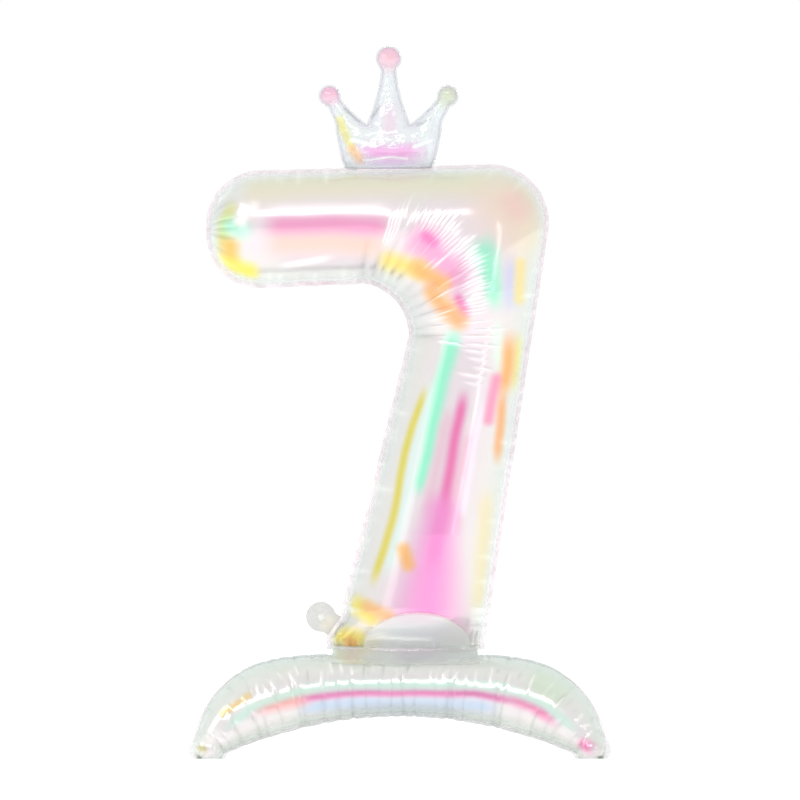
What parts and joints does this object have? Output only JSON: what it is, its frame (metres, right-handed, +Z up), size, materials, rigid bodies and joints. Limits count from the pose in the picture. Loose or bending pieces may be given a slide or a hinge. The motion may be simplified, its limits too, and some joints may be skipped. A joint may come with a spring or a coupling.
{
  "type": "foil number balloon",
  "caption": "Self-standing iridescent foil balloon shaped as the numeral seven, with a small crown on top and a two-footed crescent base.",
  "frame": {"origin": "on the floor, under the middle of the base, in the middle of the balloon's thickness", "axes": "+Z up; the numeral is read from -Y; +X is to the right of someone who reads it"},
  "size_m": [0.4584, 0.1984, 0.7791],
  "materials": {
    "iridescent_film": "glossy milky film with a pearly iridescent coating",
    "clear_film": "clearer glossy film with a faint iridescence",
    "seal_film": "plain flat film"
  },
  "bodies": {
    "number": {"number_front_film": "iridescent_film", "number_back_film": "iridescent_film", "base_gusset": "iridescent_film", "valve_front_film": "seal_film", "valve_back_film": "seal_film"},
    "crown": {"crown_front_film": "clear_film", "crown_back_film": "clear_film"},
    "tab": {"inflation_tab_front_film": "seal_film", "inflation_tab_back_film": "seal_film"},
    "front_foot": {"front_foot_outer_film": "iridescent_film", "front_foot_inner_film": "iridescent_film"},
    "rear_foot": {"rear_foot_outer_film": "iridescent_film", "rear_foot_inner_film": "iridescent_film"}
  },
  "joints": [
    {"name": "crown_nod", "type": "hinge", "parent": "number", "child": "crown", "pos_m": [-0.0125, 0, 0.6468], "axis": [1, 0, 0], "range_deg": [-18, 18], "stiffness_Nm_per_rad": 0.05},
    {"name": "tab_fold", "type": "hinge", "parent": "number", "child": "tab", "pos_m": [-0.07392, 0, 0.14168], "axis": [-0.5633, 0, -0.8262], "range_deg": [-75, 75], "stiffness_Nm_per_rad": 0.003},
    {"name": "front_foot_splay", "type": "hinge", "parent": "number", "child": "front_foot", "pos_m": [0, -0.012, 0.109], "axis": [-1, 0, 0], "range_deg": [-7, 8], "stiffness_Nm_per_rad": 1.5},
    {"name": "rear_foot_splay", "type": "hinge", "parent": "number", "child": "rear_foot", "pos_m": [0, 0.012, 0.109], "axis": [1, 0, 0], "range_deg": [-7, 8], "stiffness_Nm_per_rad": 1.5}
  ]
}
